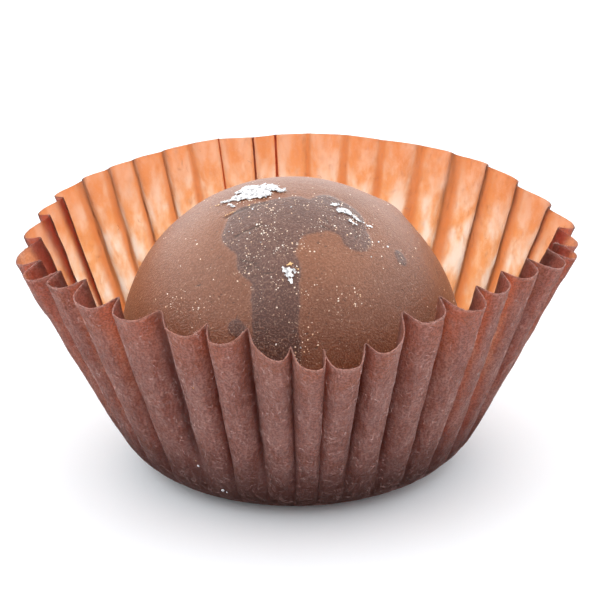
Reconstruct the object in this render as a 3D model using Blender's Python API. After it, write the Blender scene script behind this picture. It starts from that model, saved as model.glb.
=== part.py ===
"""A chocolate truffle resting in its pleated paper cup.

The cup is a flat disc of paper pressed into a flared wall. The wall is too narrow to
hold all of the disc's rim, so the paper that is left over stands in folds: they start
at nothing at the edge of the floor and are deepest at the cut edge. The truffle is a
ball with a flat foot, where its coating set on a tray.
"""

import math

import bmesh
import bpy
from mathutils import Vector

MM = 0.001

# Paper cup
PAPER_THICKNESS = 0.12 * MM
FLOOR_RADIUS = 10.4 * MM  # the flat part
CORNER_RADIUS = 5.0 * MM  # the bend from floor to wall
WALL_HEIGHT = 19.5 * MM  # of the cut edge, halfway between inner and outer folds
WALL_FLARE = math.radians(23.2)  # away from upright
PLEATS = 37
COLUMNS_PER_PLEAT = 4
CORNER_STEPS = 4
WALL_STEPS = 5

# Truffle
TRUFFLE_RADIUS = 14.45 * MM
TRUFFLE_CENTRE_HEIGHT = 9.0 * MM  # above the table
FOOT_EDGE_RADIUS = 1.6 * MM
RESTING_GAP = 0.3 * MM  # between the foot and the cup's floor
TRUFFLE_SEGMENTS = 48
DOME_STEPS = 18
FOOT_EDGE_STEPS = 4

# The bend turns from flat to the slope of the wall.
CORNER_TURN = math.pi / 2 - WALL_FLARE
CORNER_RUN = CORNER_RADIUS * CORNER_TURN
CORNER_HEIGHT = CORNER_RADIUS * (1 - math.cos(CORNER_TURN))
WALL_RUN = (WALL_HEIGHT - CORNER_HEIGHT) / math.cos(WALL_FLARE)


def clear_objects():
    """Start from an empty scene."""
    for old_object in list(bpy.data.objects):
        bpy.data.objects.remove(old_object, do_unlink=True)


def plain_material(name, colour, roughness):
    """One non-metallic finish."""
    material = bpy.data.materials.new(name)
    material.use_nodes = True
    shader = material.node_tree.nodes["Principled BSDF"]
    shader.inputs["Base Color"].default_value = (*colour, 1.0)
    shader.inputs["Roughness"].default_value = roughness
    shader.inputs["Metallic"].default_value = 0.0
    return material


def add_piece(name, shape, material, crease_angle):
    """Turn a finished bmesh into a named object, smooth up to the crease angle."""
    mesh = bpy.data.meshes.new(name)
    shape.to_mesh(mesh)
    shape.free()
    mesh.materials.append(material)
    mesh.shade_smooth()
    mesh.set_sharp_from_angle(angle=crease_angle)
    piece = bpy.data.objects.new(name, mesh)
    bpy.context.scene.collection.objects.link(piece)
    return piece


def wall_point(run):
    """Radius, height and slope of the wall's middle line, a run away from the floor's edge.

    The slope is 0 on the flat floor and a quarter turn on an upright wall.
    """
    if run <= CORNER_RUN:
        slope = run / CORNER_RADIUS
        radius = FLOOR_RADIUS + CORNER_RADIUS * math.sin(slope)
        height = CORNER_RADIUS * (1 - math.cos(slope))
        return radius, height, slope
    climb = run - CORNER_RUN
    radius = FLOOR_RADIUS + CORNER_RADIUS * math.sin(CORNER_TURN) + climb * math.sin(WALL_FLARE)
    height = CORNER_HEIGHT + climb * math.cos(WALL_FLARE)
    return radius, height, CORNER_TURN


def fold_depth(run):
    """Depth of a fold from inner to outer crease, from the paper that has to be put away."""
    radius = wall_point(run)[0]
    crowding = (FLOOR_RADIUS + run) / radius
    flank_slope = math.sqrt(max(crowding * crowding - 1, 0.0))
    return math.pi * radius / PLEATS * flank_slope


def fold_profile(column):
    """-1 at a narrow inner fold and 1 on a round outer one."""
    phase = (column % COLUMNS_PER_PLEAT) / COLUMNS_PER_PLEAT
    return 2 * math.sin(math.pi * phase) - 1


def cup_ring(shape, run):
    """One closed row of points round the wall, folded square to its slope."""
    radius, height, slope = wall_point(run)
    columns = PLEATS * COLUMNS_PER_PLEAT
    ring = []
    for column in range(columns):
        angle = 2 * math.pi * column / columns
        offset = fold_depth(run) / 2 * fold_profile(column)
        fold_radius = radius + offset * math.sin(slope)
        fold_height = height - offset * math.cos(slope)
        point = Vector((fold_radius * math.cos(angle), fold_radius * math.sin(angle), fold_height))
        ring.append(shape.verts.new(point))
    return ring


def join_rings(shape, lower, upper):
    """Quads between two rows, facing out of the cup."""
    count = len(lower)
    for here in range(count):
        after = (here + 1) % count
        shape.faces.new((lower[here], lower[after], upper[after], upper[here]))


def build_paper_case():
    """The outer skin of floor, bend and wall, thickened inwards to the paper."""
    shape = bmesh.new()
    runs = [CORNER_RUN * step / CORNER_STEPS for step in range(CORNER_STEPS)]
    runs += [CORNER_RUN + WALL_RUN * step / WALL_STEPS for step in range(WALL_STEPS + 1)]
    rings = [cup_ring(shape, run) for run in runs]
    for lower, upper in zip(rings, rings[1:]):
        join_rings(shape, lower, upper)
    shape.faces.new(list(reversed(rings[0])))
    material = plain_material("brown_glassine_paper", (0.29, 0.10, 0.06), 0.62)
    case = add_piece("paper_case", shape, material, math.radians(60))
    paper = case.modifiers.new("paper", 'SOLIDIFY')
    paper.thickness = PAPER_THICKNESS
    paper.offset = -1.0
    paper.use_even_offset = True
    return case


def truffle_profile():
    """Half outline of the truffle, from the middle of its foot to its crown."""
    foot_height = PAPER_THICKNESS + RESTING_GAP
    edge_height = foot_height + FOOT_EDGE_RADIUS
    below_centre = TRUFFLE_CENTRE_HEIGHT - edge_height
    edge_radius = math.sqrt((TRUFFLE_RADIUS - FOOT_EDGE_RADIUS) ** 2 - below_centre ** 2)
    meeting_angle = math.atan2(-below_centre, edge_radius)
    outline = [(0.0, foot_height)]
    for step in range(FOOT_EDGE_STEPS):
        angle = -math.pi / 2 + (meeting_angle + math.pi / 2) * step / FOOT_EDGE_STEPS
        outline.append((edge_radius + FOOT_EDGE_RADIUS * math.cos(angle),
                        edge_height + FOOT_EDGE_RADIUS * math.sin(angle)))
    for step in range(DOME_STEPS):
        angle = meeting_angle + (math.pi / 2 - meeting_angle) * step / DOME_STEPS
        outline.append((TRUFFLE_RADIUS * math.cos(angle),
                        TRUFFLE_CENTRE_HEIGHT + TRUFFLE_RADIUS * math.sin(angle)))
    outline.append((0.0, TRUFFLE_CENTRE_HEIGHT + TRUFFLE_RADIUS))
    return outline


def build_truffle():
    """The outline turned once round the upright axis."""
    shape = bmesh.new()
    points = [shape.verts.new((radius, 0.0, height)) for radius, height in truffle_profile()]
    edges = [shape.edges.new(pair) for pair in zip(points, points[1:])]
    bmesh.ops.spin(shape, geom=points + edges, cent=(0, 0, 0), axis=(0, 0, 1),
                   angle=2 * math.pi, steps=TRUFFLE_SEGMENTS, use_duplicate=False)
    bmesh.ops.remove_doubles(shape, verts=shape.verts, dist=0.001 * MM)
    bmesh.ops.recalc_face_normals(shape, faces=shape.faces)
    material = plain_material("milk_chocolate", (0.36, 0.19, 0.12), 0.42)
    return add_piece("truffle", shape, material, math.radians(40))


def main():
    clear_objects()
    build_paper_case()
    build_truffle()


main()
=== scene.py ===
# %% [markdown]
# # A chocolate truffle in its pleated paper cup
# The sweet is a milk chocolate ball with a flat foot. A splash of darker chocolate runs down
# its front, with scraps of silver leaf and gold dust on top. It sits in a brown glassine
# cup: one disc of paper pressed into a flared wall, whose spare paper stands in folds.
#
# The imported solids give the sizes. This file makes the visible pieces in their place.

# %% Load the frame
import math

import bmesh
import bpy
import numpy as np
from mathutils import Matrix, Vector, noise


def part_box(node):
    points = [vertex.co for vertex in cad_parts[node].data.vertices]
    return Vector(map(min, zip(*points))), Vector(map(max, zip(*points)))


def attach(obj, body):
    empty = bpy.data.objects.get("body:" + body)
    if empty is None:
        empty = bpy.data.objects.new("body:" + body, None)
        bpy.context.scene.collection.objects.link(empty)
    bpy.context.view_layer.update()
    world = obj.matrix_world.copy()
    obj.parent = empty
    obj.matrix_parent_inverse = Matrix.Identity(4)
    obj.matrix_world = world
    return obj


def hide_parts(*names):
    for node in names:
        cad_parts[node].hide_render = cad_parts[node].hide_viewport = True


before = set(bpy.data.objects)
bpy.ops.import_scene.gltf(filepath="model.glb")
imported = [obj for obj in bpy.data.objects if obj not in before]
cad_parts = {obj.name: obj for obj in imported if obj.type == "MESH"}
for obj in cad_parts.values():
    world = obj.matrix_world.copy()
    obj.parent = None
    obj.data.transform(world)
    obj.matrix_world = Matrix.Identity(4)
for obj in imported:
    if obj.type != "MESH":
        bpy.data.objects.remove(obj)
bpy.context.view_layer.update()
MM = 0.001

# %% [markdown]
# ## Reading sizes from the solids
# The cup's solid tells how wide the rim is, and the truffle's solid tells the ball's radius
# and how high its middle is. What lies on the ball or the cup is placed from those.

# %% Sizes from the solids
case_low, case_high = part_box("paper_case")
ball_low, ball_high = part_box("truffle")
BALL_RADIUS = (ball_high.x - ball_low.x) / 2
BALL_CENTRE = ball_high.z - BALL_RADIUS
RIM_RADIUS = (case_high.x - case_low.x) / 2
print("radius of the ball", round(BALL_RADIUS / MM, 2), "and of the rim", round(RIM_RADIUS / MM, 2))

# %% [markdown]
# ## Writing node trees as formulas
# A node tree for a shape or a finish is mostly arithmetic. Placing each Math node by hand
# hides the formula, so a small class lets Python's own signs add the nodes: `a * b + 1` on
# two fields makes a Multiply and an Add. One more helper adds any other node and feeds it.

# %% Helpers for node trees
def feed(tree, socket, value):
    """Link a field or an output to a socket, or set the socket's own value."""
    if isinstance(value, Field):
        value = value.socket
    if isinstance(value, bpy.types.NodeSocket):
        tree.links.new(value, socket)
    elif socket.type == 'RGBA':
        socket.default_value = (*value[:3], 1.0)
    else:
        socket.default_value = value


def add_node(tree, kind, *values, named=None, **settings):
    """Add a node with its settings; feed its inputs in order, leaving out each None, or by name."""
    made = tree.nodes.new(kind)
    for name, value in settings.items():
        setattr(made, name, value)
    for socket, value in zip(made.inputs, values):
        if value is not None:
            feed(tree, socket, value)
    for name, value in (named or {}).items():
        feed(tree, made.inputs[name], value)
    return made


class Field:
    """A number on its way through a node tree; arithmetic on it adds Math nodes."""

    def __init__(self, tree, socket):
        self.tree = tree
        self.socket = socket

    def math(self, operation, *others):
        return Field(self.tree, add_node(self.tree, "ShaderNodeMath", self, *others,
                                         operation=operation).outputs[0])

    def __add__(self, other):
        return self.math('ADD', other)

    def __sub__(self, other):
        return self.math('SUBTRACT', other)

    def __mul__(self, other):
        return self.math('MULTIPLY', other)

    def __truediv__(self, other):
        return self.math('DIVIDE', other)

    def between(self, low, high, to_low=0.0, to_high=1.0, smooth=True):
        """Stretch the range from low to high over another range, and hold it beyond."""
        kind = 'SMOOTHSTEP' if smooth else 'LINEAR'
        return Field(self.tree, add_node(self.tree, "ShaderNodeMapRange", self, low, high, to_low,
                                         to_high, interpolation_type=kind).outputs[0])


def noise_field(tree, place, scale, detail=2.0, roughness=0.5, distortion=0.0):
    """Soft noise between 0 and 1, read at a place."""
    return Field(tree, add_node(tree, "ShaderNodeTexNoise", named={
        "Vector": place, "Scale": scale, "Detail": detail, "Roughness": roughness,
        "Distortion": distortion}).outputs[0])


def random_field(tree, low, high, seed, number=None):
    """A random number for each point, or one that belongs to a given number."""
    named = {"Seed": seed} if number is None else {"ID": number, "Seed": seed}
    return Field(tree, add_node(tree, "FunctionNodeRandomValue", None, None, low, high,
                                named=named, data_type='FLOAT').outputs[1])


def split(tree, place):
    """The three parts of a place or a direction."""
    return [Field(tree, part) for part in add_node(tree, "ShaderNodeSeparateXYZ", place).outputs]


def join(tree, *parts):
    """A place or a direction from its three parts."""
    return add_node(tree, "ShaderNodeCombineXYZ", *parts).outputs[0]


print("helpers ready")

# %% [markdown]
# ## Growing a piece and keeping it as a plain mesh
# A Geometry Nodes result lives only while its modifier does. Reading the evaluated object
# into a new mesh keeps the shape and its attributes, and the modifier goes with the source.
# Every tree ends alike: what it made becomes real faces, with a material.

# %% Helpers for pieces
def add_object(name, data):
    """A new object in the scene."""
    made = bpy.data.objects.new(name, data)
    bpy.context.scene.collection.objects.link(made)
    return made


def plain_copy(source, name):
    """A new object with the evaluated mesh of the source, which is deleted."""
    graph = bpy.context.evaluated_depsgraph_get()
    mesh = bpy.data.meshes.new_from_object(source.evaluated_get(graph),
                                           preserve_all_data_layers=True, depsgraph=graph)
    bpy.data.objects.remove(source, do_unlink=True)
    mesh.name = name
    return add_object(name, mesh)


def grown(name, ground, tree, values):
    """What a Geometry Nodes tree with the given named inputs makes of a mesh."""
    source = add_object(name + " ground", ground)
    modifier = source.modifiers.new(tree.name, 'NODES')
    modifier.node_group = tree
    for item in tree.interface.items_tree:
        if item.in_out == 'INPUT' and item.name in values:
            modifier[item.identifier] = values[item.name]
    return plain_copy(source, name)


def new_tree(name, inputs):
    """An empty Geometry Nodes tree with named inputs, and the fields that read them."""
    tree = bpy.data.node_groups.new(name, 'GeometryNodeTree')
    tree.interface.new_socket("Geometry", in_out='INPUT', socket_type='NodeSocketGeometry')
    for label, kind in inputs.items():
        tree.interface.new_socket(label, in_out='INPUT', socket_type="NodeSocket" + kind)
    tree.interface.new_socket("Geometry", in_out='OUTPUT', socket_type='NodeSocketGeometry')
    entry = tree.nodes.new("NodeGroupInput")
    fields = {label: Field(tree, entry.outputs[label]) for label in inputs}
    fields["Geometry"] = entry.outputs["Geometry"]
    return tree, fields


def finish_tree(tree, geometry, material):
    """Make what was scattered real, give it a material and send it out of the tree."""
    real = add_node(tree, "GeometryNodeRealizeInstances", geometry)
    coloured = add_node(tree, "GeometryNodeSetMaterial", real.outputs[0], None, material)
    add_node(tree, "NodeGroupOutput", coloured.outputs[0])
    return tree


def set_on_spots(tree, spots, thing, turn, scale, material):
    """End a tree with a copy of a thing on each spot, turned about the way out of the face."""
    turned = add_node(tree, "FunctionNodeRotateRotation", spots.outputs["Rotation"],
                      join(tree, 0.0, 0.0, turn), rotation_space='LOCAL')
    placed = add_node(tree, "GeometryNodeInstanceOnPoints", named={
        "Points": spots.outputs["Points"], "Instance": thing, "Rotation": turned.outputs[0],
        "Scale": scale})
    return finish_tree(tree, placed.outputs[0], material)


def points_of(mesh):
    """The places of a mesh's points, one row each."""
    places = np.zeros(len(mesh.vertices) * 3)
    mesh.vertices.foreach_get("co", places)
    return places.reshape(-1, 3)


def store(mesh, name, values):
    """Keep a number for each point of a mesh."""
    mesh.attributes.new(name, 'FLOAT', 'POINT').data.foreach_set("value", values)


def describe(piece):
    """Print how big a piece has become."""
    places = points_of(piece.data) / MM
    print(piece.name, len(piece.data.polygons), "faces, from", places.min(0).round(2), "to",
          places.max(0).round(2))


print("helpers for pieces ready")

# %% [markdown]
# ## The paper
# Glassine is thin, dense and slightly shiny. Seen with light on it, it is reddish brown with
# pale fibres; seen against the light, it glows orange, in blotches where the pulp lies
# thicker. It could be a brown sheet with a soft glow from a Translucent shader, but that
# spreads the light to all sides, so that the front glows as much as the back. This paper lets
# light pass nearly straight on and only blurs it, so a rough Refraction shader is mixed in:
# the wall at the back shows the bright room behind it, and the wall in front the dark sweet.
# In front, where light falls on the sheet, its grain shows: pale fibres with dark gaps.

# %% Helpers for finishes
def new_material(name):
    """An empty node material, its tree and the place of each point on the object."""
    made = bpy.data.materials.new(name)
    made.use_nodes = True
    made.node_tree.nodes.clear()
    place = add_node(made.node_tree, "ShaderNodeTexCoord").outputs["Object"]
    return made, made.node_tree, place


def principled(tree, **sockets):
    """A Principled surface with the given sockets; an underline in a name stands for a space."""
    return add_node(tree, "ShaderNodeBsdfPrincipled", named={
        name.replace("_", " "): value for name, value in sockets.items()}).outputs[0]


def finish_material(tree, shader):
    """Send a shader to the surface."""
    add_node(tree, "ShaderNodeOutputMaterial", shader)


def blend(tree, factor, first, second, kind='MIX'):
    """Mix two colours."""
    made = add_node(tree, "ShaderNodeMix", data_type='RGBA', blend_type=kind)
    for index, value in ((0, factor), (6, first), (7, second)):
        feed(tree, made.inputs[index], value)
    return made.outputs[2]


def bumped(tree, height, distance, strength):
    """A surface direction that follows a height, which is a distance in metres where it is 1."""
    return add_node(tree, "ShaderNodeBump", named={
        "Strength": strength, "Distance": distance, "Height": height}).outputs[0]


def attribute(tree, name):
    """A number stored on the mesh."""
    return Field(tree, add_node(tree, "ShaderNodeAttribute", attribute_name=name).outputs["Fac"])


def curly_fibres(tree, place, scale, width):
    """Thin curling lines: where a soft noise passes through its middle value."""
    away = (noise_field(tree, place, scale, 1.5, 0.5, 0.4) - 0.5).math('ABSOLUTE')
    return away.between(width, 0.0)


print("helpers for finishes ready")

# %% Paper material
# The colours of the sheet by light that falls on it, then by light that shines through.
PAPER_THIN, PAPER_THICK = (0.36, 0.152, 0.136), (0.57, 0.285, 0.265)
# Painted shade beside the inner folds and at the foot; the same tone darkens the gaps of the grain.
PAPER_SHADE_AND_GAPS = (0.100, 0.028, 0.020)
PAPER_FIBRE = (0.80, 0.56, 0.50)
# Painted highlight along the cut edge, mostly in front.
PAPER_EDGE_HIGHLIGHT = (0.42, 0.21, 0.175)
# Painted highlight along the outer folds and the top of the wall, in front.
PAPER_CREST_HIGHLIGHT = (0.75, 0.44, 0.39)
# Painted light: a warm glow near the rim, in front only.
PAPER_RIM_GLOW = (0.86, 0.37, 0.23)
GLOW_THIN, GLOW_THICK = (0.99, 0.85, 0.74), (0.95, 0.575, 0.33)
# The glow's colour in painted shade beside the inner folds and at the foot, and deeper towards the
# rim.
GLOW_SHADE_AND_RIM = (0.86, 0.44, 0.23)
# The glow's colour in painted shade beside the inner folds, in front only.
GLOW_FRONT_FOLD_SHADE = (0.44, 0.17, 0.11)
GLOW_GAP = (0.56, 0.25, 0.17)
PASSING = 0.86  # the share of the light that enters the sheet
PAPER_HAZE, PAPER_BEND = 0.62, 1.22
# How fine the marks are: waves of noise in a metre.
CLUMPS, GRAIN, CURLS, CURL_PATCHES, GAPS = 600, 5200, 2100, 1100, 5600
CURL_WIDTH = 0.030
FRONT = (4 * MM, -8 * MM)  # along the depth of the cup, from behind to in front
# The wall in front, most where it is nearest, is made to reflect a little more: painted light.
NEAREST = (-9 * MM, -17 * MM)


def make_paper():
    """Brown glassine, alike on both sides.

    The numbers stored on the mesh say how far up the wall a point is and how near an outer
    fold. They place painted shade beside the inner folds and at the foot, and, in front,
    painted highlights on the outer folds, the top of the wall and the cut edge, and a painted
    warm glow near the rim. The front also reflects a little more, most where it is nearest.
    """
    made, tree, place = new_material("brown glassine")
    tall = add_node(tree, "ShaderNodeVectorMath", place, (1.0, 1.0, 0.45), operation='MULTIPLY')
    clumps = noise_field(tree, tall.outputs[0], CLUMPS, 4.0, 0.62).between(0.34, 0.66)
    grain = noise_field(tree, place, GRAIN, 2.0, 0.6).between(0.48, 0.68)
    patches = noise_field(tree, place, CURL_PATCHES).between(0.4, 0.6)
    curls = curly_fibres(tree, place, CURLS, CURL_WIDTH) * patches
    fibres = (grain * 0.6).math('MAXIMUM', curls * 0.75)
    rise = attribute(tree, "rise")
    fold = attribute(tree, "fold")
    depth = split(tree, place)[1]
    front = depth.between(*FRONT)
    nearest = depth.between(*NEAREST) * rise.between(0.2, 0.6)
    # Painted shade: darker beside the inner folds and at the foot of the wall.
    fold_and_foot_shade = (fold.between(0.0, 0.55, 0.9, 0.0) * rise.between(0.10, 0.5)).math(
        'MAXIMUM', rise.between(0.46, 0.12))
    # Painted highlight in front: along the outer folds and near the top of the wall.
    crest_highlight = fold.between(0.78, 0.98) * front * rise.between(0.25, 0.6)
    pale = crest_highlight.math('MAXIMUM', rise.between(0.72, 0.98) * front * 0.6)
    # Painted light: a warm glow near the rim, in front only.
    rim_glow = rise.between(0.74, 0.96) * front * clumps.between(0.9, 0.1, 0.5, 1.0)
    # Painted highlight along the cut edge, mostly in front.
    edge_highlight = rise.between(0.986, 0.998) * (front * 0.9 + 0.1)
    gaps = noise_field(tree, place, GAPS, 2.0, 0.6).between(0.56, 0.42) * front

    colour = blend(tree, clumps, PAPER_THIN, PAPER_THICK)
    # Painted shade, real fibres, painted highlights, a painted glow, then the grain's dark gaps.
    for share, tone in ((fold_and_foot_shade, PAPER_SHADE_AND_GAPS), (fibres * (fold_and_foot_shade * -0.6 + 1), PAPER_FIBRE),
                        (pale * 0.3, PAPER_CREST_HIGHLIGHT), (rim_glow * 0.4, PAPER_RIM_GLOW),
                        (edge_highlight * 0.35, PAPER_EDGE_HIGHLIGHT), (gaps * 0.5, PAPER_SHADE_AND_GAPS)):
        colour = blend(tree, share, colour, tone)
    glow = blend(tree, clumps, GLOW_THICK, GLOW_THIN)
    # Painted shade in the glow beside the inner folds and more of it in front; deeper near the rim;
    # darker in the grain's gaps.
    for share, tone in ((fold_and_foot_shade.math('MAXIMUM', rise.between(0.7, 1.0) * 0.6), GLOW_SHADE_AND_RIM),
                        (fold_and_foot_shade * front * 0.75, GLOW_FRONT_FOLD_SHADE), (gaps * 0.45, GLOW_GAP)):
        glow = blend(tree, share, glow, tone)

    relief = bumped(tree, grain * 0.5 + curls + clumps, 0.04 * MM, 0.5)
    face = principled(tree, Base_Color=colour, Roughness=0.52, Specular_IOR_Level=0.3,
                      Normal=relief)
    ahead = add_node(tree, "ShaderNodeBsdfRefraction", glow, PAPER_HAZE, PAPER_BEND)
    # More is reflected at the fibres, at the painted highlights and on the front, most where it is
    # nearest: painted light that lightens the front of the wall.
    kept_back = fibres * 0.16 + edge_highlight * 0.25 + pale * 0.04 + front * 0.03 + nearest * 0.035
    mixed = add_node(tree, "ShaderNodeMixShader", kept_back * -1 + PASSING, face,
                     ahead.outputs[0])
    finish_material(tree, mixed.outputs[0])
    return made


PAPER = make_paper()
print("paper", len(PAPER.node_tree.nodes), "nodes")

# %% [markdown]
# ## The pleated cup
# A flat disc is pressed between a round die and a mould, so the cup keeps the disc's size
# along every fold while its wall gets narrower: the spare paper round the wall has to stand
# in folds. That rule gives the depth of a fold at each height, from nothing at the floor to
# a little over two millimetres at the cut edge. Each outer fold is a round trough and each
# inner one a narrow ridge.
#
# It could be cut from a turned cone with displaced rings, but a grid of points whose two
# directions are "round the cup" and "up the paper" is simpler: a Geometry Nodes tree works
# out where each point of the flat disc ends up. The folds crowd together in some places
# and spread in others, and the wall leans in and out, as two short curves say. Behind the
# sweet, the folds are rounder and shallower than in front.

# %% The cup's driving values
PAPER_THICKNESS = 0.09 * MM
FLOOR_RADIUS = 10.4 * MM
CORNER_RADIUS = 5.0 * MM
WALL_HEIGHT = 19.5 * MM
WALL_FLARE = math.radians(23.2)
PLEATS = 37
COLUMNS_PER_PLEAT = 14
PAPER_ROWS = 66
FLOOR_SHARE = 0.09  # of the rows
CROWDING = 0.72  # how closely the columns stand at an inner fold; at 1 they meet
SKEW = 0.45  # how far an outer fold leans to one side
RIDGE = (0.30, 0.46)  # how wide an inner fold is, from narrowest to widest
BEHIND, FARTHEST = (66, 122), (138, 162)  # degrees of turn over which the folds change
WIDER_BEHIND, SHALLOWER_BEHIND, SHALLOWER_FARTHEST = 0.95, 0.52, 0.42
SETTLING = (1.5 * MM, 9 * MM)  # the way up the paper over which the folds reach their depth
LEAN_POWER = 1.35  # the wall leans mostly near its edge
TRIM_ERROR, LEAN_ERROR = 0.12 * MM, 0.22 * MM
WAVER, CREASE = 0.4 * MM, 0.45 * MM  # soft dents and long creases

# How far the folds drift round the cup, in degrees, by the number of the fold.
FOLD_DRIFT = [(0, 3.9), (1.5, -1.2), (4, -6.7), (6.5, -8.8), (9, -7.1), (11, -3.9), (12.3, -4.0),
              (14, -1.6), (15.3, 3.1), (17.2, 4.2), (18.3, 3.2), (19.5, -0.2), (21, 0.2),
              (23, 2.5), (25, 4.8), (26.5, 0.9), (28.3, -2.6), (30, 0.6), (31.5, 5.6),
              (33.5, 8.0), (35.5, 6.7), (37, 3.9)]
DRIFT_REACH = 16.0  # degrees, the curve's half range

# How far the cut edge leans out of the true cone, in millimetres, by turn in degrees.
RIM_LEAN = [(-180, 0.0), (-135, 0.0), (-118, -0.2), (-103, -0.5), (-93, -0.6), (-84, 0.1),
            (-76, 0.3), (-62, -0.5), (-45, -0.8), (-22, -0.6), (-9, 0.1), (5.5, 1.9), (17, 0.6),
            (26, -0.7), (45, -1.3), (60, -1.0), (68, -0.5), (76, 0.2), (90, 0.5), (106, -0.6),
            (119, -1.2), (133, -0.8), (148, 0.0), (180, 0.0)]
LEAN_REACH = 4.0  # millimetres, the curve's half range


# %% The cup's curves
def curve_field(tree, position, points, low, high, reach):
    """A smooth curve through points, read at a position between low and high."""
    made = add_node(tree, "ShaderNodeFloatCurve", 1.0)
    curve = made.mapping.curves[0]
    while len(curve.points) < len(points):
        curve.points.new(0.5, 0.5)
    for point, (across, up) in zip(curve.points, points):
        point.location = ((across - low) / (high - low), 0.5 + 0.5 * up / reach)
    made.mapping.update()
    feed(tree, made.inputs["Value"], (position - low) / (high - low))
    return (Field(tree, made.outputs[0]) - 0.5) * (2 * reach)


print("drift and lean curves have", len(FOLD_DRIFT), "and", len(RIM_LEAN), "points")


# %% The cup's tree
def build_cup_tree():
    """Where each point of the paper disc ends up in the pressed cup."""
    tree, given = new_tree("pleated cup", {
        "Floor radius": "Float", "Corner radius": "Float", "Wall height": "Float",
        "Flare": "Float", "Pleats": "Int", "Columns per pleat": "Int", "Rows": "Int",
        "Unevenness": "Float", "Seed": "Int", "Paper": "Material"})
    floor, corner, flare = given["Floor radius"], given["Corner radius"], given["Flare"]
    pleats = given["Pleats"]
    grid = add_node(tree, "GeometryNodeMeshGrid", 1.0, 1.0,
                    pleats * given["Columns per pleat"] + 1, given["Rows"])
    sides = split(tree, add_node(tree, "GeometryNodeInputPosition").outputs[0])
    along = (sides[0] + 0.5) * pleats
    up = sides[1] + 0.5

    # One pleat runs from an inner fold, 0, over an outer one to the next, 1.
    number = (along + 0.0001).math('FLOOR')
    step = along - number
    crowded = step - (step * math.tau).math('SINE') * (CROWDING / math.tau)
    here = number.math('FLOORED_MODULO', pleats)
    after = (number + 1).math('FLOORED_MODULO', pleats)
    seed = given["Seed"]

    def at_lines(low, high, shift):
        """A random number for each inner fold, running evenly from one to the next."""
        first = random_field(tree, low, high, seed + shift, here)
        second = random_field(tree, low, high, seed + shift, after)
        return first + (second - first) * crowded

    skew = random_field(tree, -SKEW, SKEW, seed + 1, here)
    trough = crowded + skew * crowded * (crowded * -1 + 1)
    swell = (trough * math.pi).math('SINE')
    turned = ((number + crowded) / pleats * 360 - 180).math('ABSOLUTE')
    behind, farthest = turned.between(*BEHIND), turned.between(*FARTHEST)
    ridge = at_lines(*RIDGE, 7) + behind * WIDER_BEHIND
    rounded = swell * swell / (swell * swell + ridge * ridge) * (ridge * ridge + 1)

    # The way up the paper: the floor takes the first rows, then the bend and the wall.
    corner_turn = flare * -1 + math.pi / 2
    corner_run = corner * corner_turn
    corner_height = corner * (corner_turn.math('COSINE') * -1 + 1)
    wall_run = (given["Wall height"] - corner_height) / flare.math('COSINE')
    trim = at_lines(-TRIM_ERROR, TRIM_ERROR, 2) * given["Unevenness"]
    on_floor = up.between(0.0, FLOOR_SHARE, smooth=False)
    above = up.between(FLOOR_SHARE, 1.0, smooth=False)
    run = above * (corner_run + wall_run + trim)
    slope = (run / corner).math('MINIMUM', corner_turn)
    climb = (run - corner_run).math('MAXIMUM', 0.0)
    radius = floor * on_floor + corner * slope.math('SINE') + climb * flare.math('SINE')
    height = corner * (slope.math('COSINE') * -1 + 1) + climb * flare.math('COSINE')

    # The folds take up the spare paper.
    crowding = (floor + run) / (floor + corner * slope.math('SINE') + climb * flare.math('SINE'))
    flank = (crowding * crowding - 1).math('MAXIMUM', 0.0).math('SQRT')
    settled = run.between(*SETTLING) * (behind * -SHALLOWER_BEHIND + 1)
    settled = settled * (farthest * -SHALLOWER_FARTHEST + 1)
    depth = radius * flank * settled * math.pi / pleats
    own_depth = random_field(tree, -0.16, 0.16, seed + 3, here) * given["Unevenness"] + 1
    offset = depth * (rounded * own_depth - 0.5)

    # Round the cup: even folds, then their drift and each fold's own wandering.
    drift = curve_field(tree, along, FOLD_DRIFT, 0, PLEATS, DRIFT_REACH)
    wander = at_lines(-0.4, 0.4, 4) + at_lines(-0.6, 0.6, 5) * above
    degrees = (number + crowded) / pleats * 360 - 180 + drift + wander * given["Unevenness"]
    angle = degrees * (math.pi / 180)
    across = angle.math('SINE')
    forward = angle.math('COSINE') * -1

    turn = (degrees + 180).math('FLOORED_MODULO', 360) - 180
    lean = curve_field(tree, turn, RIM_LEAN, -180, 180, LEAN_REACH) * MM
    lean = lean + at_lines(-LEAN_ERROR, LEAN_ERROR, 6) * given["Unevenness"]
    lean_out = lean * (climb / wall_run).math('POWER', LEAN_POWER)
    around = join(tree, across * radius, forward * radius, height)
    waver = noise_field(tree, around, 330, 1.0) - 0.5
    creases = noise_field(tree, join(tree, across, forward, above * 0.25), 26, 2.0) - 0.5
    offset = offset + (waver * WAVER + creases * CREASE) * above * given["Unevenness"]
    reach = radius + offset * slope.math('SINE') + lean_out
    level = height - offset * slope.math('COSINE') - lean_out * 0.5
    target = join(tree, across * reach, forward * reach, level)

    kept = grid.outputs[0]
    for label, value in (("rise", above), ("fold", rounded)):
        kept = add_node(tree, "GeometryNodeStoreNamedAttribute", kept, None, label, value,
                        data_type='FLOAT', domain='POINT').outputs[0]
    shaped = add_node(tree, "GeometryNodeSetPosition", kept, None, target)
    closed = add_node(tree, "GeometryNodeMergeByDistance", shaped.outputs[0], None, 0.001 * MM)
    return finish_tree(tree, closed.outputs[0], given["Paper"])


CUP_TREE = build_cup_tree()
print("cup tree", len(CUP_TREE.nodes), "nodes")


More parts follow.
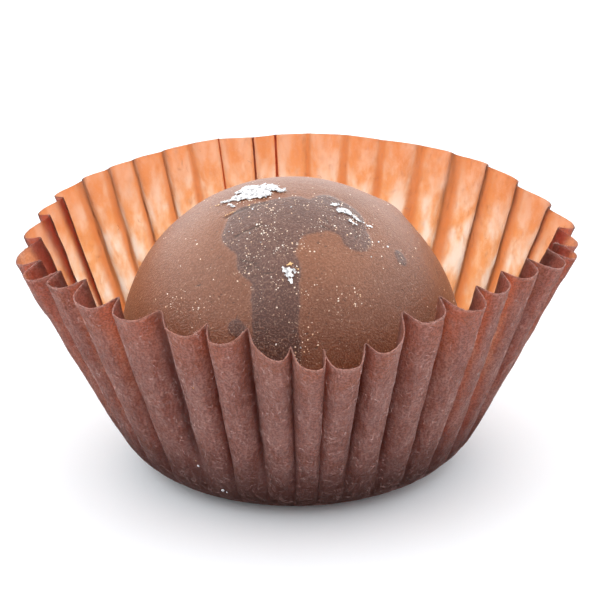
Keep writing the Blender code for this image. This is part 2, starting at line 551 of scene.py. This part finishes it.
# %% Grow the cup
def face_outwards(piece):
    """Turn the faces so that the lowest ones look down."""
    shape = bmesh.new()
    shape.from_mesh(piece.data)
    bmesh.ops.recalc_face_normals(shape, faces=shape.faces)
    lowest = min(shape.faces, key=lambda face: face.calc_center_median().z)
    if lowest.normal.z > 0:
        bmesh.ops.reverse_faces(shape, faces=shape.faces)
    shape.to_mesh(piece.data)
    shape.free()


def make_case():
    """The paper cup as one thin sheet with two sides."""
    case = grown("pleated_paper_cup", bpy.data.meshes.new("cup"), CUP_TREE, {
        "Floor radius": FLOOR_RADIUS, "Corner radius": CORNER_RADIUS, "Wall height": WALL_HEIGHT,
        "Flare": WALL_FLARE, "Pleats": PLEATS, "Columns per pleat": COLUMNS_PER_PLEAT,
        "Rows": PAPER_ROWS, "Unevenness": 1.0, "Seed": 7, "Paper": PAPER})
    face_outwards(case)
    paper = case.modifiers.new("paper thickness", 'SOLIDIFY')
    paper.thickness = PAPER_THICKNESS
    paper.offset = -1.0
    paper.use_even_offset = False
    case = plain_copy(case, "pleated_paper_cup")
    case.data.shade_smooth()
    case.data.set_sharp_from_angle(angle=math.radians(50))
    return case


case = make_case()
describe(case)

# %% [markdown]
# ## Loose fibres
# Glassine is beaten pulp, and some of its long pale fibres lie loose on the faces, where they
# catch the light as fine curling hairs. They could be drawn in the material only, but real
# hairs also stand off a little at the creases. A Geometry Nodes tree scatters short bent
# threads over the outer face, fewer behind, and a few over the inner one.

# %% Fibres on the paper
def make_fibre_material():
    """Pale, slightly pink pulp, with painted shade towards the bottom of the cup."""
    made, tree, place = new_material("pulp fibre")
    tone = noise_field(tree, place, 700, 2.0).between(0.35, 0.65)
    colour = blend(tree, tone, (0.36, 0.19, 0.165), (0.66, 0.43, 0.39))
    # Painted shade: the fibres are darker towards the bottom of the cup.
    low = split(tree, place)[2].between(2 * MM, 10 * MM, 0.95, 0.0)
    colour = blend(tree, low, colour, (0.50, 0.44, 0.44), 'MULTIPLY')
    finish_material(tree, principled(tree, Base_Color=colour, Roughness=0.5,
                                     Specular_IOR_Level=0.3))
    return made


def one_fibre(tree, bend, points, thick):
    """A closed thread bent through an angle, one unit in radius, its middle at the origin."""
    path = add_node(tree, "GeometryNodeCurveArc", named={
        "Resolution": points, "Radius": 1.0, "Start Angle": bend * -0.5 + math.pi / 2,
        "Sweep Angle": bend})
    outline = add_node(tree, "GeometryNodeCurvePrimitiveCircle", named={
        "Resolution": 3, "Radius": thick})
    body = add_node(tree, "GeometryNodeCurveToMesh", named={
        "Curve": path.outputs[0], "Profile Curve": outline.outputs[0], "Fill Caps": True})
    return add_node(tree, "GeometryNodeTransform", named={
        "Geometry": body.outputs[0], "Translation": (0.0, -0.9, 0.0)}).outputs[0]


def build_fibre_tree():
    """Bent threads scattered over the faces of the wall."""
    tree, given = new_tree("paper fibres", {
        "Per square metre": "Float", "Inside share": "Float", "Shortest": "Float",
        "Longest": "Float", "Bend": "Float", "Points": "Int", "Thickness": "Float",
        "Seed": "Int", "Fibre": "Material"})
    place = add_node(tree, "GeometryNodeInputPosition").outputs[0]
    normal = add_node(tree, "GeometryNodeInputNormal").outputs[0]
    level = add_node(tree, "ShaderNodeVectorMath", place, (1.0, 1.0, 0.0), operation='MULTIPLY')
    outward = add_node(tree, "ShaderNodeVectorMath", level.outputs[0], operation='NORMALIZE')
    facing = add_node(tree, "ShaderNodeVectorMath", normal, outward.outputs[0],
                      operation='DOT_PRODUCT')
    rise = Field(tree, add_node(tree, "GeometryNodeInputNamedAttribute", "rise",
                                data_type='FLOAT').outputs[0])
    outside = Field(tree, facing.outputs["Value"]).between(0.02, 0.12)
    share = outside + (outside * -1 + 1) * given["Inside share"]
    share = share * split(tree, place)[1].between(5 * MM, -5 * MM, 0.3, 1.0)
    seed = given["Seed"]
    spots = add_node(tree, "GeometryNodeDistributePointsOnFaces", given["Geometry"], named={
        "Density": given["Per square metre"] * share * rise.between(0.08, 0.16), "Seed": seed})
    length = random_field(tree, given["Shortest"], given["Longest"], seed + 1)
    side = random_field(tree, -1.3, 1.3, seed + 2)
    turn = random_field(tree, 0.0, math.tau, seed + 3)
    thread = one_fibre(tree, given["Bend"], given["Points"], given["Thickness"])
    return set_on_spots(tree, spots, thread, turn, join(tree, length, length * side, length),
                        given["Fibre"])


FIBRE_TREE = build_fibre_tree()
PULP = make_fibre_material()
curled = grown("curled_fibres", case.data.copy(), FIBRE_TREE, {
    "Per square metre": 4.9e6, "Inside share": 0.06, "Shortest": 0.11 * MM, "Fibre": PULP,
    "Longest": 0.30 * MM, "Bend": math.radians(115), "Points": 3, "Thickness": 0.05, "Seed": 3})
straight = grown("straight_fibres", case.data.copy(), FIBRE_TREE, {
    "Per square metre": 9.0e6, "Inside share": 0.04, "Shortest": 0.25 * MM, "Fibre": PULP,
    "Longest": 0.60 * MM, "Bend": math.radians(50), "Points": 2, "Thickness": 0.022, "Seed": 31})
describe(curled)
describe(straight)

# %% [markdown]
# ## The ball
# The truffle was rolled by hand and set on a tray, so it is round but not quite, with a flat
# foot. A cube cut into squares and blown up to a sphere has even faces all over, without the
# pinched poles of a turned ball. The dark splash is a film laid over the front: its outline
# is a set of broad strokes that melt together, and each point of the ball remembers how far
# it is from that outline, so that the finish can draw a crisp edge and the shape a low step.

# %% Marks on the face of the ball
FACE_TILT = math.radians(24.4)  # the marked side looks up by this much
FACE_RIGHT = Vector((1, 0, 0))
FACE_UP = Vector((0, math.sin(FACE_TILT), math.cos(FACE_TILT)))
FACE_OUT = Vector((0, -math.cos(FACE_TILT), math.sin(FACE_TILT)))
BALL_SHIFT = Vector((-0.5 * MM, 0, 0))  # it doesn't sit quite in the middle
CENTRE = Vector((0, 0, BALL_CENTRE)) + BALL_SHIFT


def face_direction(right, up):
    """From the ball's centre to a mark so many millimetres from the middle of its face."""
    out = math.sqrt(max((BALL_RADIUS / MM) ** 2 - right ** 2 - up ** 2, 0.0))
    return (FACE_RIGHT * right + FACE_UP * up + FACE_OUT * out).normalized()


# Each stroke of the splash: from and to on the face, and its half width, in millimetres.
SPLASH_STROKES = [((-3.5, 9.6), (-1.2, 9.0), 2.1), ((-2.6, 7.2), (-1.2, 6.6), 1.75),
                  ((-1.2, 6.0), (-1.1, -3.5), 1.95), ((-3.6, 10.9), (0.6, 11.7), 1.35),
                  ((0.2, 10.5), (4.2, 10.8), 1.85), ((3.2, 12.0), (5.0, 10.6), 1.1),
                  ((4.8, 10.0), (5.5, 8.9), 1.35)]
# Each scratch: from and to on the face, and its half width, in millimetres.
SCRATCHES = [((-4.4, 9.2), (-2.2, 10.1), 0.10), ((-4.0, 7.2), (-2.6, 6.9), 0.08),
             ((-3.7, 6.7), (-2.2, 6.5), 0.07), ((-2.9, 5.9), (-1.3, 6.2), 0.06),
             ((2.6, 9.9), (3.3, 9.6), 0.09), ((5.3, 9.9), (5.5, 8.9), 0.07),
             ((-5.3, 10.8), (-1.9, 12.0), 0.09), ((3.0, 10.6), (3.2, 10.2), 0.10),
             ((12.2, 6.5), (12.4, 5.6), 0.06), ((-8.0, 5.2), (-7.4, 5.3), 0.06)]
# Each drop: its middle on the face and its radius, in millimetres.
SPLASH_DROPS = [((9.25, 7.1), 0.58), ((9.1, 7.45), 0.5), ((-4.5, 1.7), 0.68), ((-4.1, 1.4), 0.6)]
MELT = 0.9  # millimetres over which strokes run together


def melt_together(first, second, width):
    """The smaller of two distances, rounded where they are alike."""
    share = np.clip(0.5 + 0.5 * (second - first) / width, 0, 1)
    return second * (1 - share) + first * share - width * share * (1 - share)


def stroke_distance(points, start, end, half_width):
    """Millimetres from each point to a stroke's edge, less than zero inside."""
    first = np.array(face_direction(*start)) * BALL_RADIUS / MM
    last = np.array(face_direction(*end)) * BALL_RADIUS / MM
    way = last - first
    share = np.clip((points - first) @ way / max(way @ way, 1e-9), 0, 1)
    nearest = first + share[:, None] * way
    nearest *= (BALL_RADIUS / MM / np.linalg.norm(nearest, axis=1))[:, None]
    return np.linalg.norm(points - nearest, axis=1) - half_width


def splash_distance(directions):
    """Signed distance to the edge of the dark splash, in millimetres."""
    points = directions * (BALL_RADIUS / MM)
    total = None
    for start, end, half_width in SPLASH_STROKES:
        distance = stroke_distance(points, start, end, half_width)
        total = distance if total is None else melt_together(total, distance, MELT)
    for place, half_width in SPLASH_DROPS:
        total = np.minimum(total, stroke_distance(points, place, place, half_width))
    return total


def scratch_distance(directions):
    """Distance to the nearest scratch, in millimetres."""
    points = directions * (BALL_RADIUS / MM)
    return np.min([stroke_distance(points, *scratch) for scratch in SCRATCHES], axis=0)


print("splash of", len(SPLASH_STROKES), "strokes and", len(SPLASH_DROPS), "drops")

# %% Chocolate material
MILK_TONES = (0.200, 0.069, 0.030), (0.248, 0.089, 0.039)
SPLASH_TONES = (0.100, 0.040, 0.029), (0.136, 0.058, 0.042)
BLOOM_RIM = (0.28, 0.14, 0.095)  # a paler line round the splash
LOW_SHADE_TONE = (0.56, 0.46, 0.39)  # painted shade: what is left of the colour low down on the ball
# painted shade on the splash low down, a little browner
LOW_SPLASH_SHADE = (0.84, 0.56, 0.43)
BLOOM_GRIT, DARK_GRIT = (0.52, 0.33, 0.24), (0.03, 0.012, 0.008)
SPECK, PORE, SCRATCHED = (0.62, 0.43, 0.31), (0.06, 0.022, 0.014), (0.045, 0.018, 0.010)


def make_chocolate():
    """Milk chocolate with a dark splash, fine bloom and specks, and painted shade low down."""
    made, tree, place = new_material("milk chocolate with dark splash")
    edge = attribute(tree, "splash") + (noise_field(tree, place, 700, 4.0, 0.7) - 0.5) * 0.7
    dark = edge.between(0.12, -0.12)
    rim = edge.between(0.0, 0.35, 1.0, 0.0) * edge.between(-0.12, 0.05)
    ragged = (noise_field(tree, place, 1300, 2.0) - 0.5) * 0.16
    groove = (attribute(tree, "scratch") + ragged).between(0.06, -0.02)
    clouds = noise_field(tree, place, 160, 3.0, 0.55).between(0.3, 0.7)
    grain = noise_field(tree, place, 2600, 3.0, 0.65)
    grit = noise_field(tree, place, 6500, 1.0, 0.6).between(0.34, 0.66, -1.0, 1.0, smooth=False)
    specks = noise_field(tree, place, 4700, 1.0).between(0.67, 0.74)
    pores = noise_field(tree, place, 3600, 1.0).between(0.31, 0.24)
    coarse = grit * (dark * 0.05 + 0.14)
    # Painted shade: the ball is darker towards the bottom.
    shaded = split(tree, place)[2].between(BALL_CENTRE + 3 * MM, BALL_CENTRE + 12 * MM, 0.95, 0.0)

    milk = blend(tree, rim * 0.2, blend(tree, clouds, *MILK_TONES), BLOOM_RIM)
    colour = blend(tree, dark, milk, blend(tree, clouds, *SPLASH_TONES))
    colour = blend(tree, shaded, colour, LOW_SHADE_TONE, 'MULTIPLY')
    colour = blend(tree, shaded * dark, colour, LOW_SPLASH_SHADE, 'MULTIPLY')
    for share, tone in ((coarse.math('MAXIMUM', 0.0), BLOOM_GRIT),
                        ((coarse * -1.6).math('MAXIMUM', 0.0), DARK_GRIT),
                        (specks * 0.4, SPECK), (pores * 0.55, PORE), (groove * 0.7, SCRATCHED)):
        colour = blend(tree, share, colour, tone)

    relief = bumped(tree, grain + grit * 0.35 - pores + clouds * 2, 0.06 * MM, 0.6)
    finish_material(tree, principled(
        tree, Base_Color=colour, Normal=relief,
        Roughness=dark.between(0.0, 1.0, 0.46, 0.38, smooth=False)))
    return made


CHOCOLATE = make_chocolate()
print("chocolate", len(CHOCOLATE.node_tree.nodes), "nodes")

# %% Shape the ball
BALL_CUTS = 116
FOOT_ROUNDING = 0.48 * MM
FOOT_GAP = 0.03 * MM  # between the foot and the paper
SPLASH_RISE = 0.07  # millimetres, the thickness of the dark film
SCRATCH_DEPTH, SCRATCH_REACH = 0.05, 0.15  # millimetres
SWELLS = [(0.10, 1.6, 1), (0.035, 5.0, 2), (0.012, 22.0, 3)]  # height in mm, fineness, seed
SHOULDER = (8.6, 11.6, 1.6, 0.28)  # a low swelling on the face: right, up, width, height, in mm


def blown_cube(cuts):
    """Directions of the points of a cube blown up to a unit ball, and its faces."""
    shape = bmesh.new()
    bmesh.ops.create_cube(shape, size=2.0)
    bmesh.ops.subdivide_edges(shape, edges=shape.edges, cuts=cuts - 1, use_grid_fill=True)
    mesh = bpy.data.meshes.new("truffle_ball")
    shape.to_mesh(mesh)
    shape.free()
    points = np.tan(points_of(mesh) * math.pi / 4)
    return mesh, points / np.linalg.norm(points, axis=1)[:, None]


def bump_near(directions, right, up, half_width, height):
    """A soft round swelling at a mark on the face, in millimetres."""
    centre = np.array(face_direction(right, up))
    away = np.linalg.norm(directions - centre, axis=1) * BALL_RADIUS / MM
    return height * np.exp(-(away / half_width) ** 2)


def soft_noise(directions, scale, seed):
    """Smooth noise between about -1 and 1, one value for each direction."""
    shift = Vector((seed * 7.3, seed * 3.1, seed * 5.7))
    return np.array([noise.noise(Vector(direction) * scale + shift) for direction in directions])


def splash_height(directions):
    """How far the surface stands out from the true ball, in millimetres."""
    film = np.clip(0.5 - splash_distance(directions) / 0.5, 0, 1)
    relief = SPLASH_RISE * film * film * (3 - 2 * film)
    for height, fineness, seed in SWELLS:
        relief += height * soft_noise(directions, fineness, seed)
    return relief + bump_near(directions, *SHOULDER)


def make_ball():
    """The truffle: a slightly uneven ball with a flat foot and a raised splash."""
    mesh, directions = blown_cube(BALL_CUTS)
    scratched = scratch_distance(directions)
    relief = splash_height(directions)
    relief -= SCRATCH_DEPTH * np.clip(1 - scratched / SCRATCH_REACH, 0, 1)
    points = directions * (BALL_RADIUS + (relief * MM))[:, None] + np.array(CENTRE)
    foot = PAPER_THICKNESS + FOOT_GAP
    above = points[:, 2] - foot
    points[:, 2] = foot + 0.5 * (above + np.sqrt(above ** 2 + FOOT_ROUNDING ** 2))
    mesh.vertices.foreach_set("co", points.ravel())
    store(mesh, "splash", splash_distance(directions))
    store(mesh, "scratch", scratched)
    mesh.materials.append(CHOCOLATE)
    mesh.shade_smooth()
    mesh.update()
    return add_object("truffle_ball", mesh)


ball = make_ball()
describe(ball)

# %% [markdown]
# ## Silver and gold leaf
# Scraps of beaten metal leaf cling to the splash: one broad wrinkled scrap near the crown, a
# torn one to its right, one small flake in the middle, and flecks around them. Leaf takes the
# shape of what it lies on, so each scrap is a patch of small squares laid over the ball,
# kept where its strokes reach, torn along the edge by noise and lifted by wrinkles. The
# patch is then given a thickness, so that it is closed. A scrap could be painted on, but its
# lifted edges catch the light and throw small shadows.

# %% Metal materials
def make_metal(name, bright, dull):
    """Crumpled metal leaf, from bright to dull in patches."""
    made, tree, place = new_material(name)
    patches = noise_field(tree, place, 3300, 2.0, 0.6)
    colour = blend(tree, patches.between(0.44, 0.62), bright, dull)
    relief = bumped(tree, noise_field(tree, place, 5200, 2.0, 0.6), 0.09 * MM, 0.9)
    finish_material(tree, principled(
        tree, Base_Color=colour, Metallic=0.75, Normal=relief,
        Roughness=patches.between(0.3, 0.7, 0.35, 0.60, smooth=False)))
    return made


SILVER = make_metal("silver leaf", (0.84, 0.86, 0.88), (0.42, 0.41, 0.42))
GOLD = make_metal("gold leaf", (0.86, 0.56, 0.28), (0.40, 0.19, 0.08))
print("metals", SILVER.name, GOLD.name)

# %% Scraps of leaf
# Each scrap: its strokes on the face, as for the splash, then how high it wrinkles, in mm.
SILVER_SCRAPS = [
    ([((-3.9, 12.5), (-2.1, 12.7), 0.66), ((-3.6, 13.15), (-1.7, 13.25), 0.85),
      ((-5.5, 12.15), (-4.2, 12.4), 0.26), ((-1.7, 13.2), (-0.45, 12.95), 0.32)], 0.26),
    ([((-4.95, 11.9), (-4.5, 11.75), 0.17)], 0.12),
    ([((3.55, 11.6), (4.1, 11.65), 0.17)], 0.10),
    ([((4.15, 11.15), (4.75, 11.05), 0.34), ((4.9, 10.95), (5.8, 10.25), 0.2)], 0.16),
    ([((5.0, 10.3), (5.4, 10.0), 0.16)], 0.10),
    ([((6.45, 9.95), (6.75, 9.85), 0.15)], 0.08),
    ([((-0.35, 6.2), (0.2, 6.1), 0.36), ((-0.1, 6.0), (0.1, 5.45), 0.28)], 0.16),
]
GOLD_SCRAPS = [
    ([((-0.15, 6.7), (0.1, 6.75), 0.15)], 0.10),
    ([((0.55, 6.4), (0.65, 6.35), 0.08)], 0.06),
    ([((-5.3, 11.0), (-4.2, 11.35), 0.05), ((-3.6, 11.6), (-2.6, 11.95), 0.06)], 0.04),
    ([((-6.6, 11.75), (-5.9, 11.95), 0.05)], 0.04),
]
LEAF_CELL = 0.055  # mm, one square of a scrap
LEAF_THICKNESS = 0.025 * MM
LEAF_LIFT = 0.05  # mm above the chocolate
TEAR = 0.16  # mm, how far the noise tears an edge


def leaf_patch(shape, strokes, wrinkle, seed):
    """Add one scrap of leaf to a mesh being built: squares on the ball where strokes reach."""
    middles = [face_direction(*end) for stroke in strokes for end in stroke[:2]]
    middle = sum(middles, Vector()).normalized()
    side = middle.cross(Vector((0, 0, 1))).normalized()
    up = side.cross(middle)
    reach = max((way - middle).length * BALL_RADIUS / MM for way in middles)
    reach += max(stroke[2] for stroke in strokes) + TEAR
    count = math.ceil(reach / LEAF_CELL)
    steps = np.arange(-count, count + 1) * LEAF_CELL
    across, along = np.meshgrid(steps, steps, indexing="ij")
    ways = (np.array(middle) * (BALL_RADIUS / MM) + across[..., None] * np.array(side)
            + along[..., None] * np.array(up))
    ways /= np.linalg.norm(ways, axis=2)[..., None]
    flat = ways.reshape(-1, 3)
    away = np.min([stroke_distance(flat * (BALL_RADIUS / MM), *stroke) for stroke in strokes],
                  axis=0)
    away += TEAR * soft_noise(flat, 38.0, seed) + 1.4 * TEAR * soft_noise(flat, 95.0, seed + 3)
    away += 3.0 * np.clip(soft_noise(flat, 64.0, seed + 4) - 0.5, 0, 1)
    folds = np.abs(soft_noise(flat, 26.0, seed + 1)) + 0.5 * np.abs(soft_noise(flat, 60.0, seed + 2))
    height = splash_height(flat) + LEAF_LIFT + wrinkle * folds
    places = flat * (BALL_RADIUS + height * MM)[:, None] + np.array(CENTRE)
    kept = (away < 0).reshape(across.shape)
    points = {}
    for row in range(2 * count):
        for column in range(2 * count):
            corners = [(row, column), (row + 1, column), (row + 1, column + 1), (row, column + 1)]
            if not all(kept[corner] for corner in corners):
                continue
            for corner in corners:
                if corner not in points:
                    index = corner[0] * (2 * count + 1) + corner[1]
                    points[corner] = shape.verts.new(places[index])
            shape.faces.new([points[corner] for corner in corners])


def touches_at_a_corner(vert):
    """True where two parts of a scrap meet in one point only."""
    return len([edge for edge in vert.link_edges if len(edge.link_faces) == 1]) > 2


def make_leaf(name, scraps, metal, seed):
    """All scraps of one metal as one piece."""
    shape = bmesh.new()
    for number, (strokes, wrinkle) in enumerate(scraps):
        leaf_patch(shape, strokes, wrinkle, seed + 5 * number)
    cornered = [vert for vert in shape.verts if touches_at_a_corner(vert)]
    bmesh.ops.delete(shape, geom=cornered, context='VERTS')
    bmesh.ops.recalc_face_normals(shape, faces=shape.faces)
    for face in shape.faces:
        if face.normal.dot(face.calc_center_median() - CENTRE) < 0:
            face.normal_flip()
    leaf = add_object(name, bpy.data.meshes.new(name))
    shape.to_mesh(leaf.data)
    shape.free()
    leaf.data.materials.append(metal)
    sheet = leaf.modifiers.new("leaf thickness", 'SOLIDIFY')
    sheet.thickness = LEAF_THICKNESS
    sheet.offset = -1.0
    return plain_copy(leaf, name)


silver = make_leaf("silver_leaf", SILVER_SCRAPS, SILVER, 11)
gold = make_leaf("gold_leaf", GOLD_SCRAPS, GOLD, 53)
describe(silver)
describe(gold)

# %% [markdown]
# ## Gold dust
# Pale gold dust was shaken over the sweet: it lies thick on the splash and in a few clusters,
# and thin elsewhere. A Geometry Nodes tree scatters points over a copy of the ball, more of
# them where the splash is, and sets a small flattened grain on each. A few larger flecks of
# silver lie among them, and a few flecks of both metals fell on the outside of the cup.

# %% Where the dust and the flecks lie
# Each cluster: its middle on the face and how wide it is, in millimetres.
DUST_CLUSTERS = [(4.7, 3.6, 1.1), (-9.3, 3.6, 1.0), (-7.3, 3.7, 0.8), (2.6, 10.4, 1.2),
                 (1.0, 8.2, 0.7), (-3.2, 7.0, 1.3), (5.2, 10.6, 1.0), (-2.8, 12.4, 1.4),
                 (-1.6, 5.0, 1.0), (1.6, 4.6, 0.7), (6.4, 9.0, 0.9), (1.2, 0.6, 0.9),
                 (0.6, -1.2, 0.9)]
CLUSTER_DENSITY, SPLASH_DENSITY, STRAY_DENSITY = 0.5, 0.26, 0.016
# Each fleck on the ball: its place on the face and its size, in millimetres.
LARGE_FLECKS = [(6.15, 10.15, 0.11), (6.3, 9.7, 0.09), (7.35, 8.6, 0.12), (8.1, 8.2, 0.12),
                (6.7, 7.35, 0.09), (-2.95, 11.4, 0.11), (0.2, 11.5, 0.11), (-0.75, 12.3, 0.09),
                (-1.2, 0.3, 0.10), (3.4, 12.3, 0.08), (-4.9, 9.6, 0.07), (-3.2, 9.4, 0.08),
                (11.0, 9.4, 0.08), (-7.7, 9.0, 0.07), (0.8, 0.0, 0.09), (-2.3, 8.6, 0.07)]
# Each fleck on the cup: turn in degrees, height and size in millimetres.
FALLEN_SILVER = [(-32.6, 4.4, 0.15), (-25.1, 2.4, 0.20), (-24.0, 2.2, 0.10)]
FALLEN_GOLD = [(-24.7, 13.9, 0.12), (-33.0, 4.9, 0.07)]


def store_dust_density(mesh):
    """How thick the dust lies at each point of the ball, from 0 to 1."""
    ways = points_of(mesh) - np.array(CENTRE)
    ways /= np.linalg.norm(ways, axis=1)[:, None]
    splash = np.clip(0.5 - splash_distance(ways) / 0.6, 0, 1)
    above = np.clip((ways @ np.array(FACE_UP) + 0.45) / 0.6, 0, 1)
    high = np.clip((ways @ np.array(FACE_UP) - 0.30) / 0.25, 0.25, 1)
    density = STRAY_DENSITY + SPLASH_DENSITY * splash * high
    for cluster in DUST_CLUSTERS:
        density += bump_near(ways, *cluster, CLUSTER_DENSITY)
    clumps = np.clip(0.55 + 1.1 * soft_noise(ways, 9.0, 8), 0.05, 1.6)
    store(mesh, "dust", np.clip(density * clumps, 0, 1) * above)


print(len(DUST_CLUSTERS), "clusters of dust and", len(LARGE_FLECKS), "larger flecks on the ball")


# %% Dust material and tree
def build_dust_tree():
    """Small flattened grains scattered where the dust lies."""
    tree, given = new_tree("dust", {"Most per square metre": "Float", "Least apart": "Float",
                                    "Smallest": "Float", "Largest": "Float", "Seed": "Int",
                                    "Dust": "Material"})
    thick = add_node(tree, "GeometryNodeInputNamedAttribute", "dust", data_type='FLOAT').outputs[0]
    seed = given["Seed"]
    spots = add_node(tree, "GeometryNodeDistributePointsOnFaces", given["Geometry"], named={
        "Distance Min": given["Least apart"], "Density Max": given["Most per square metre"],
        "Density Factor": thick, "Seed": seed}, distribute_method='POISSON')
    grain = add_node(tree, "GeometryNodeMeshIcoSphere", 1.0, 1).outputs[0]
    share = random_field(tree, 0.0, 1.0, seed).math('POWER', 2.5)
    wide = given["Smallest"] + (given["Largest"] - given["Smallest"]) * share
    long = wide * random_field(tree, 0.6, 1.5, seed + 1)
    turn = random_field(tree, 0.0, math.tau, seed + 2)
    return set_on_spots(tree, spots, grain, turn, join(tree, long, wide, wide * 0.45),
                        given["Dust"])


def make_dust_material():
    """Pale gold grains, each of its own tone."""
    made, tree, place = new_material("gold dust")
    tone = noise_field(tree, place, 2500, 1.0).between(0.35, 0.65)
    colour = blend(tree, tone, (0.98, 0.88, 0.78), (0.80, 0.56, 0.38))
    finish_material(tree, principled(tree, Base_Color=colour, Metallic=0.3, Roughness=0.4))
    return made


def make_dust():
    """The dust as one mesh."""
    ground = ball.data.copy()
    store_dust_density(ground)
    return grown("gold_dust", ground, build_dust_tree(), {
        "Most per square metre": 3.0e7, "Least apart": 0.06 * MM, "Smallest": 0.022 * MM,
        "Largest": 0.085 * MM, "Seed": 5, "Dust": make_dust_material()})


dust = make_dust()
describe(dust)


# %% Larger flecks
def on_ball(right, up, size):
    """Where a fleck lies on the ball, and which way is out."""
    way = face_direction(right, up)
    height = float(splash_height(np.array([way]))[0]) + 0.4 * size
    return CENTRE + way * (BALL_RADIUS + height * MM), way


def on_wall(turn, height):
    """Where a fleck lies on the outside of the cup, and which way is out."""
    out = Vector((math.sin(math.radians(turn)), -math.cos(math.radians(turn)), 0.0))
    start = out * (2 * RIM_RADIUS) + Vector((0, 0, height * MM))
    found, place, normal, _ = case.ray_cast(start, -out)
    return (place, normal) if found else (start, out)


def add_flecks(leaf, flecks):
    """Add small flat flecks, each a place, a way out and a size, to a piece of leaf."""
    shape = bmesh.new()
    shape.from_mesh(leaf.data)
    for number, (place, way, size) in enumerate(flecks):
        tilt = way.to_track_quat('Z', 'Y').to_matrix().to_4x4()
        twist = Matrix.Rotation(1.7 * number, 4, 'Z') @ Matrix.Rotation(0.35, 4, 'X')
        flat = Matrix.Diagonal((size * MM, 0.75 * size * MM, 0.4 * size * MM, 1.0))
        bmesh.ops.create_icosphere(shape, subdivisions=1, radius=1.0,
                                   matrix=Matrix.Translation(place) @ tilt @ twist @ flat)
    shape.to_mesh(leaf.data)
    shape.free()


bpy.context.view_layer.update()
add_flecks(silver, [(*on_ball(*fleck), fleck[2]) for fleck in LARGE_FLECKS]
           + [(*on_wall(turn, height), size) for turn, height, size in FALLEN_SILVER])
add_flecks(gold, [(*on_wall(turn, height), size) for turn, height, size in FALLEN_GOLD])
describe(silver)
describe(gold)

# %% [markdown]
# ## Camera, floor and light
# The sweet stands on white and is lit from all round, as in a light tent: brightest behind,
# where the room shines through the paper. The camera looks down a little from some way off
# through a long lens.

# %% Camera
CAMERA_ELEVATION = math.radians(23.8)
CAMERA_DISTANCE = 415 * MM
CAMERA_AIM = Vector((0.3, 0.0, 13.4)) * MM
CAMERA_LENS = 297.5
CAMERA_ROLL = math.radians(-1.0)


def make_camera():
    """A long lens looking down on the cup, with a slight roll."""
    back = Vector((0, -math.cos(CAMERA_ELEVATION), math.sin(CAMERA_ELEVATION)))
    made = add_object("camera", bpy.data.cameras.new("camera"))
    made.data.lens = CAMERA_LENS
    made.data.clip_start, made.data.clip_end = 0.01, 10.0
    turn = (-back).to_track_quat('-Z', 'Y').to_matrix().to_4x4()
    roll = Matrix.Rotation(CAMERA_ROLL, 4, 'Z')
    made.matrix_world = Matrix.Translation(CAMERA_AIM + back * CAMERA_DISTANCE) @ turn @ roll
    bpy.context.scene.camera = made


make_camera()
print("camera", [round(v / MM) for v in bpy.context.scene.camera.location])

# %% Floor and light
FLOOR_TONES = (0.832, 0.886, 0.928), (0.842, 0.896, 0.938)
TABLE_RADIUS = 1.5  # metres


def make_floor():
    """A wide white table top."""
    made, tree, place = new_material("white table")
    tone = blend(tree, noise_field(tree, place, 40), *FLOOR_TONES)
    finish_material(tree, principled(tree, Base_Color=tone, Roughness=0.7))
    mesh = bpy.data.meshes.new("floor")
    shape = bmesh.new()
    bmesh.ops.create_circle(shape, cap_ends=True, segments=64, radius=TABLE_RADIUS)
    shape.to_mesh(mesh)
    shape.free()
    mesh.materials.append(made)
    add_object("floor", mesh)


ROOM_LIGHT = 1.4
BACK_LIGHT = 1.5
SIDE_LIGHT = 0.9
FRONT_SHADE = -0.66
LEFT_LIGHT = 0.35


def make_light():
    """White surroundings: brightest behind, dimmer in front, a little brighter on the left."""
    world = bpy.data.worlds.new("light tent")
    world.use_nodes = True
    tree = world.node_tree
    way = add_node(tree, "ShaderNodeTexCoord").outputs["Generated"]
    across, forward, up = split(tree, way)
    behind = forward.between(0.3, 0.75) * up.between(0.7, 0.2)
    aside = across.math('ABSOLUTE').between(0.35, 0.75) * up.between(0.2, 0.4)
    before = forward.between(-0.3, -0.7) * up.between(0.2, 0.45)
    left = across.between(-0.15, -0.65) * up.between(0.15, 0.4) * forward.between(0.7, 0.3)
    light = behind * BACK_LIGHT + aside * SIDE_LIGHT + before * FRONT_SHADE + ROOM_LIGHT
    light = light + left * LEFT_LIGHT
    seen = Field(tree, add_node(tree, "ShaderNodeLightPath").outputs["Is Camera Ray"])
    strength = seen + light * (seen * -1 + 1)
    feed(tree, tree.nodes["Background"].inputs["Color"], (1.0, 1.0, 1.0))
    feed(tree, tree.nodes["Background"].inputs["Strength"], strength)
    bpy.context.scene.world = world
    bpy.context.scene.view_settings.view_transform = 'Standard'


make_floor()
make_light()
print("lit")

# %% [markdown]
# ## Fastening and finishing
# All the pieces rest in one body. The cup and the ball take the places of the two packed
# solids; the fibres, the leaf and the dust are extra pieces that lie on them.

# %% Fasten the pieces to the frame
SLOTS = {"glassine_paper": (case, curled, straight), "milk_chocolate": (ball, silver, gold, dust)}
for slot_name, pieces in SLOTS.items():
    for piece in pieces:
        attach(piece, "root")
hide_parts("paper_case")
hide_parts("truffle")
